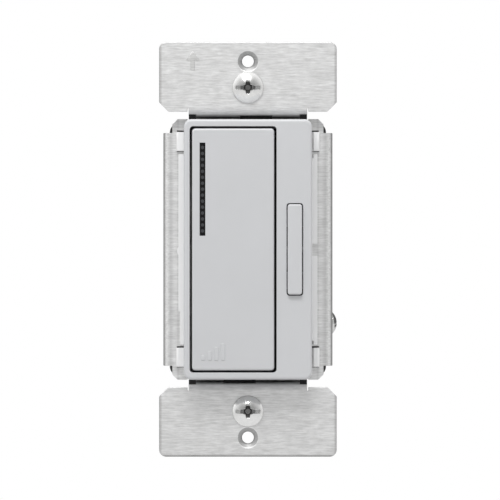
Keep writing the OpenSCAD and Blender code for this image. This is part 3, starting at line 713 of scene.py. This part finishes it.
@dataclass
class Strap:
    """Folded aluminium strap with its box screws and ground screw, in millimetres."""

    thread_crest: float = 1.75
    thread_root: float = 1.42
    thread_pitch: float = 0.794
    thread_start: float = 2.4
    thread_turns: int = 25
    thread_steps: int = 24
    tip_length: float = 0.9
    tip_radius: float = 1.05
    arrow_place: tuple[float, float] = (-14.2, 48.6)
    arrow_size: tuple[float, float] = (3.4, 5.0)
    arrow_shaft: float = 1.1
    arrow_rise: float = 0.16

    def sheet(self) -> None:
        """Rounds the sheet's edges and brushes it."""
        finished("mounting_strap", Finish.ALUMINIUM_SHEET, Edges(0.16, neck=15.9))

    def arrow(self) -> None:
        """Stamps a plain arrow that points up in the upper ear."""
        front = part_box("mounting_strap")[0].y
        (x, z), (width, height) = self.arrow_place, self.arrow_size
        half, shaft = width / 2, self.arrow_shaft / 2
        shoulder = z + height / 2 - width * 0.7
        outline = (
            (x, z + height / 2), (x - half, shoulder), (x - shaft, shoulder), (x - shaft, z - height / 2),
            (x + shaft, z - height / 2), (x + shaft, shoulder), (x + half, shoulder),
        )
        bm = bmesh.new()
        verts = [bm.verts.new((a * MM, front + 0.1 * MM, b * MM)) for a, b in outline]
        face = bm.faces.new(verts)
        raised = bmesh.ops.extrude_face_region(bm, geom=[face])["geom"]
        moved = [g for g in raised if isinstance(g, bmesh.types.BMVert)]
        bmesh.ops.translate(bm, verts=moved, vec=(0, -(0.1 + self.arrow_rise) * MM, 0))
        rim = [e for e in bm.edges if all(v in moved for v in e.verts)]
        round_edges(bm, rim, self.arrow_rise * 0.8 * MM)
        # The arrow's darker finish is painted shade.
        added("up_arrow", bm, Finish.STAMPED_MARK, BODY_OF["mounting_strap"])

    def thread(self, bm: bmesh.types.BMesh, axis_z: float, end: float) -> None:
        """Turns the thread of one box screw, with its plain root and its tip.

        Args:
            bm: Mesh that takes it.
            axis_z: Height of the screw's axis, in metres.
            end: Depth of the screw's tip, in metres.
        """
        crest, root, pitch = self.thread_crest, self.thread_root, self.thread_pitch
        depth = self.thread_start - 2 * pitch
        points = [(root, depth), (root, depth + 2 * pitch)]
        for turn in range(self.thread_turns):
            low = depth + (turn + 2) * pitch
            points += [(crest, low + pitch * 0.42), (crest, low + pitch * 0.58), (root, low + pitch)]
        points.append((root, points[-1][1] + 2 * pitch))
        profile = bmesh.new()
        verts = [profile.verts.new((r * MM, y * MM, 0)) for r, y in points]
        wires = [profile.edges.new(pair) for pair in zip(verts, verts[1:])]
        bmesh.ops.spin(
            profile, geom=[*verts, *wires], cent=(0, 0, 0), axis=(0, 1, 0), angle=2 * math.pi,
            dvec=(0, pitch * MM / self.thread_steps, 0), steps=self.thread_steps, use_merge=False,
        )
        bmesh.ops.remove_doubles(profile, verts=profile.verts, dist=MERGE)
        last = end - self.tip_length * MM
        for place, normal in ((self.thread_start - 0.8 * pitch) * MM, (0, -1, 0)), (last, (0, 1, 0)):
            cut = bmesh.ops.bisect_plane(
                profile, geom=[*profile.verts, *profile.edges, *profile.faces],
                plane_co=(0, place, 0), plane_no=normal, clear_outer=True,
            )["geom_cut"]
            rim = [g for g in cut if isinstance(g, bmesh.types.BMEdge)]
            cap = bmesh.ops.holes_fill(profile, edges=rim, sides=0)["faces"]
            if normal[1] > 0 and cap:
                tip = bmesh.ops.extrude_face_region(profile, geom=cap)["geom"]
                bmesh.ops.delete(profile, geom=cap, context="FACES_ONLY")
                tip_verts = [g for g in tip if isinstance(g, bmesh.types.BMVert)]
                bmesh.ops.translate(profile, verts=tip_verts, vec=(0, self.tip_length * MM, 0))
                share = self.tip_radius / crest
                bmesh.ops.scale(profile, verts=tip_verts, vec=(share, 1, share))
        bmesh.ops.translate(profile, verts=profile.verts, vec=(0, 0, axis_z))
        mesh = bpy.data.meshes.new("thread")
        profile.to_mesh(mesh)
        profile.free()
        bm.from_mesh(mesh)
        bpy.data.meshes.remove(mesh)

    def box_screws(self) -> None:
        """Rounds the two heads and gives the shafts a thread."""
        heads = finished("mounting_screws", Finish.BRIGHT_ZINC, Edges(0.05, back=-1.7))
        cut = bmesh.new()
        cut.from_mesh(heads.data)
        edge = bmesh.ops.bisect_plane(
            cut, geom=[*cut.verts, *cut.edges, *cut.faces],
            plane_co=(0, self.thread_start * MM, 0), plane_no=(0, 1, 0), clear_outer=True,
        )["geom_cut"]
        bmesh.ops.holes_fill(cut, edges=[g for g in edge if isinstance(g, bmesh.types.BMEdge)], sides=0)
        cut.to_mesh(heads.data)
        cut.free()
        bm = bmesh.new()
        for side in (-1, 1):
            self.thread(bm, side * SCREW_HEIGHT * MM, SCREWS_HIGH.y)
        added("box_screw_threads", bm, Finish.ZINC_STEEL, BODY_OF["mounting_screws"])

    def build(self) -> None:
        """Builds the strap and its screws."""
        self.sheet()
        self.arrow()
        self.box_screws()
        finished("screw_retainers", Finish.FIBRE, Edges(0.05))
        finished("ground_screw", Finish.BRIGHT_ZINC, Edges(0.06))


@dataclass
class Paddle:
    """Push paddle with its dark window, the dots of the lights and raised level marks, in millimetres."""

    dot_count: int = 15
    dot_radius: float = 0.45
    dot_rise: float = 0.01
    dot_margin: float = 1.2
    mark_count: int = 4
    mark_centre: tuple[float, float] = (-8.94, -26.3)
    mark_width: float = 1.0
    mark_pitch: float = 1.7
    mark_heights: tuple[float, float] = (1.4, 4.4)
    mark_rise: float = 0.2

    def dots(self) -> None:
        """Shows a dot in the window over each light."""
        low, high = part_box("light_window")
        x = (low.x + high.x) / 2
        bottom = low.z + self.dot_margin * MM
        pitch = (high.z - low.z - 2 * self.dot_margin * MM) / (self.dot_count - 1)
        bm = bmesh.new()
        for index in range(self.dot_count):
            where = Matrix.Translation((x, low.y + 0.03 * MM, bottom + index * pitch))
            bmesh.ops.create_cone(
                bm, cap_ends=True, segments=24, radius1=self.dot_radius * MM,
                radius2=self.dot_radius * MM, depth=(0.06 + 2 * self.dot_rise) * MM,
                matrix=where @ Matrix.Rotation(math.radians(90), 4, "X"),
            )
        added("light_dots", bm, Finish.WINDOW_DOT, BODY_OF["light_window"])

    def marks(self) -> None:
        """Raises a row of bars that rise to the right, low on the paddle."""
        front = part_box("paddle")[0].y
        x, z = self.mark_centre
        shortest, tallest = self.mark_heights
        bm = bmesh.new()
        for index in range(self.mark_count):
            share = index / (self.mark_count - 1)
            height = shortest + (tallest - shortest) * share
            left = x + (index - (self.mark_count - 1) / 2) * self.mark_pitch
            centre = (left * MM, front, (z - tallest / 2 + height / 2) * MM)
            size = (self.mark_width * MM, 2 * self.mark_rise * MM, height * MM)
            add_block(bm, centre, size)
        upright = [e for e in bm.edges if abs(e.verts[0].co.y - e.verts[1].co.y) > self.mark_rise * MM]
        round_edges(bm, upright, 0.3 * MM, 4)
        fronts = [
            e for e in bm.edges
            if all(v.co.y < front - 0.5 * self.mark_rise * MM for v in e.verts) and e.calc_face_angle(0) > 1
        ]
        round_edges(bm, fronts, self.mark_rise * 0.8 * MM, 3)
        added("level_marks", bm, Finish.WHITE_BUTTON, BODY_OF["paddle"])

    def build(self) -> None:
        """Builds the paddle and what it carries."""
        finished("paddle", Finish.WHITE_BUTTON, Edges(0.06, back=-8.0))
        finished("light_window", Finish.DARK_WINDOW, Edges(0.04))
        self.dots()
        self.marks()


@dataclass
class Face:
    """White frame, its tray with the snaps, and the dim bar, in millimetres."""

    rim: float = 0.12

    def build(self) -> None:
        """Builds the frame, the tray and the bar."""
        finished("face_frame", Finish.WHITE_FACE, Edges(self.rim, back=-8.0))
        finished("switch_tray", Finish.TRAY_PLASTIC, Edges(0.1, back=3.0))
        finished("dim_bar", Finish.WHITE_BAR, Edges(0.05))
        finished("dim_pads", Finish.SOFT_PAD, Edges(0.05))


@dataclass
class ControlSide:
    """Control board behind the paddle, with what is mounted on it, in millimetres."""

    edge: float = 0.05

    def build(self) -> None:
        """Builds the board and its parts."""
        edges = Edges(self.edge)
        fine = Edges(self.edge / 2)
        finished("control_board", Finish.DARK_BOARD, edges)
        finished("push_switch", Finish.SWITCH_METAL, edges)
        finished("push_plunger", Finish.BLACK_PLASTIC, edges)
        finished("dim_switches", Finish.SWITCH_METAL, edges)
        finished("light_row", Finish.LIGHT_CHIP, fine)
        finished("light_guide", Finish.CLEAR_GUIDE, fine)
        finished("radio_module", Finish.SWITCH_METAL, edges)
        finished("board_link", Finish.BLACK_PLASTIC)
        finished("paddle_spring", Finish.SPRING_STEEL)


@dataclass
class PowerSide:
    """Power board in the housing, with what is mounted on it and on the plate, in millimetres."""

    edge: float = 0.05
    can_edge: float = 0.2
    block_edge: float = 0.3

    def build(self) -> None:
        """Builds the board and its parts."""
        edges = Edges(self.edge)
        finished("power_board", Finish.DARK_BOARD, edges)
        finished("transistors", Finish.BLACK_PLASTIC, edges)
        finished("transistor_pads", Finish.INSULATOR)
        finished("transistor_rivets", Finish.ZINC_STEEL, edges)
        finished("choke_core", Finish.FERRITE, edges)
        finished("choke_winding", Finish.COPPER_WIRE)
        finished("fuse_tube", Finish.GLASS_TUBE, edges)
        finished("fuse_caps", Finish.ZINC_STEEL, edges)
        finished("film_capacitor", Finish.FILM_BLUE, Edges(self.block_edge))
        finished("storage_capacitor", Finish.BLACK_PLASTIC, Edges(self.can_edge))
        finished("surge_disc", Finish.FILM_BLUE, Edges(self.can_edge))


@dataclass
class RearCase:
    """Black housing behind the strap, with its screws and terminals, in millimetres."""

    edge: float = 0.2
    screw_edge: float = 0.05

    def build(self) -> None:
        """Builds the housing, its screws and the terminals."""
        small = Edges(self.screw_edge)
        finished("rear_housing", Finish.BLACK_PLASTIC, Edges(self.edge, front=4.8))
        finished("housing_screws", Finish.ZINC_STEEL, small)
        finished("terminal_lugs", Finish.BRASS_PART, small)
        finished("clamp_plates", Finish.ZINC_STEEL, small)
        finished("line_screws", Finish.BRASS_PART, Edges(self.screw_edge, angle=60))
        finished("neutral_screw", Finish.ZINC_STEEL, Edges(self.screw_edge, angle=60))


@dataclass
class Studio:
    """Camera, lamps, floor and backdrop."""

    photo_scale: float = 3.891
    device_centre: tuple[float, float] = (247.9, 249.4)
    distance: float = 2.5
    focus_y: float = -5 * MM
    sensor: float = 36.0
    front_level: float = 0.26
    side_level: float = 0.84
    back_level: float = 0.15
    low_level: float = 0.7
    high_level: float = 1.3
    left_level: float = 1.28
    right_level: float = 1.05

    def camera(self) -> None:
        """Puts the camera straight in front, at the photograph's scale."""
        width = PHOTO_SIZE / self.photo_scale * MM
        data = bpy.data.cameras.new("camera")
        data.sensor_width = self.sensor
        data.lens = self.sensor * self.distance / width
        data.clip_end = 20
        camera = bpy.data.objects.new("camera", data)
        bpy.context.scene.collection.objects.link(camera)
        right = (PHOTO_SIZE / 2 - self.device_centre[0]) / self.photo_scale * MM
        down = (PHOTO_SIZE / 2 - self.device_centre[1]) / self.photo_scale * MM
        camera.location = (right, self.focus_y - self.distance, -down)
        camera.rotation_euler = (math.radians(90), 0, 0)
        bpy.context.scene.camera = camera

    def lamp(self, name: str, where: Point, size: tuple[float, float], power: float) -> None:
        """Adds a soft rectangular lamp that faces the dimmer.

        Args:
            name: Name of the lamp.
            where: Its place, in metres.
            size: Its width and height, in metres.
            power: Its power, in watts.
        """
        data = bpy.data.lights.new(name, "AREA")
        data.shape = "RECTANGLE"
        data.size, data.size_y = size
        data.energy = power
        lamp = bpy.data.objects.new(name, data)
        bpy.context.scene.collection.objects.link(lamp)
        lamp.location = where
        lamp.rotation_euler = (-Vector(where)).to_track_quat("-Z", "Y").to_euler()

    def ramp(self, tree: bpy.types.NodeTree, source: Socket, ends: tuple[float, ...]) -> Socket:
        """Adds a smooth change of level.

        Args:
            tree: The node tree.
            source: The value that it follows.
            ends: Range of the source, and the levels at its two ends.

        Returns:
            The level.
        """
        node = tree.nodes.new("ShaderNodeMapRange")
        node.interpolation_type = "SMOOTHSTEP"
        for name, value in zip(("From Min", "From Max", "To Min", "To Max"), ends):
            node.inputs[name].default_value = value
        tree.links.new(source, node.inputs["Value"])
        return node.outputs["Result"]

    def world(self) -> None:
        """Sets a soft sky that is brightest above and beside the dimmer, and plain white to the camera."""
        world = bpy.data.worlds.new("studio")
        world.use_nodes = True
        bpy.context.scene.world = world
        tree = world.node_tree
        tree.nodes.clear()
        new, join = tree.nodes.new, tree.links.new
        split = new("ShaderNodeSeparateXYZ")
        join(new("ShaderNodeTexCoord").outputs["Generated"], split.inputs[0])
        level = self.ramp(tree, split.outputs["Z"], (-1.0, 1.0, self.low_level, self.high_level))
        for axis, ends in (
            ("X", (-1.0, 1.0, self.left_level, self.right_level)),
            ("Y", (-1.0, 0.0, self.front_level, self.side_level)),
            ("Y", (0.0, 0.5, 1.0, self.back_level)),
        ):
            product = new("ShaderNodeMath")
            product.operation = "MULTIPLY"
            join(level, product.inputs[0])
            join(self.ramp(tree, split.outputs[axis], ends), product.inputs[1])
            level = product.outputs[0]
        seen = new("ShaderNodeMix")
        join(new("ShaderNodeLightPath").outputs["Is Camera Ray"], seen.inputs["Factor"])
        join(level, seen.inputs["A"])
        seen.inputs["B"].default_value = 1.0
        sky = new("ShaderNodeBackground")
        sky.inputs["Color"].default_value = (1, 1, 1, 1)
        join(seen.outputs["Result"], sky.inputs["Strength"])
        join(sky.outputs[0], new("ShaderNodeOutputWorld").inputs["Surface"])

    def sheet_material(self) -> bpy.types.Material:
        """Makes the white paper of the floor, which is plain white to the camera.

        Returns:
            The material.
        """
        material = bpy.data.materials.new("white_paper")
        material.use_nodes = True
        tree = material.node_tree
        shader = tree.nodes["Principled BSDF"]
        shader.inputs["Base Color"].default_value = (0.86, 0.86, 0.86, 1)
        shader.inputs["Roughness"].default_value = 0.9
        path = tree.nodes.new("ShaderNodeLightPath")
        rays = tree.nodes.new("ShaderNodeMath")
        rays.operation = "MAXIMUM"
        tree.links.new(path.outputs["Is Camera Ray"], rays.inputs[0])
        tree.links.new(path.outputs["Is Glossy Ray"], rays.inputs[1])
        white = tree.nodes.new("ShaderNodeEmission")
        mix = tree.nodes.new("ShaderNodeMixShader")
        share = tree.nodes.new("ShaderNodeMath")
        share.operation = "MULTIPLY"
        share.inputs[1].default_value = 0.6
        tree.links.new(rays.outputs[0], share.inputs[0])
        tree.links.new(share.outputs[0], mix.inputs[0])
        tree.links.new(shader.outputs[0], mix.inputs[1])
        tree.links.new(white.outputs[0], mix.inputs[2])
        tree.links.new(mix.outputs[0], tree.nodes["Material Output"].inputs["Surface"])
        return material

    def floor(self, height: float) -> None:
        """Lays the floor.

        Args:
            height: Its height, in metres.
        """
        bm = bmesh.new()
        bmesh.ops.create_grid(bm, x_segments=1, y_segments=1, size=3)
        bmesh.ops.translate(bm, verts=bm.verts, vec=(0, 0, height))
        sheet = new_piece("floor", bm)
        sheet.data.materials.append(self.sheet_material())

    def build(self) -> None:
        """Builds the whole studio."""
        self.camera()
        self.world()
        self.lamp("top_lamp", (-0.05, -0.37, 0.5), (0.3, 0.2), 2.1)
        self.floor(-0.25)


def main() -> None:
    """Builds the studio and every part of the dimmer."""
    logging.basicConfig(level=logging.INFO, format="%(name)s: %(message)s")
    bpy.context.scene.view_settings.view_transform = "Standard"
    Studio().build()
    for part in (Strap(), Paddle(), Face(), ControlSide(), PowerSide(), RearCase()):
        part.build()
        LOG.info("built %s", type(part).__name__)


if __name__ == "__main__":
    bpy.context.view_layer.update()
    main()
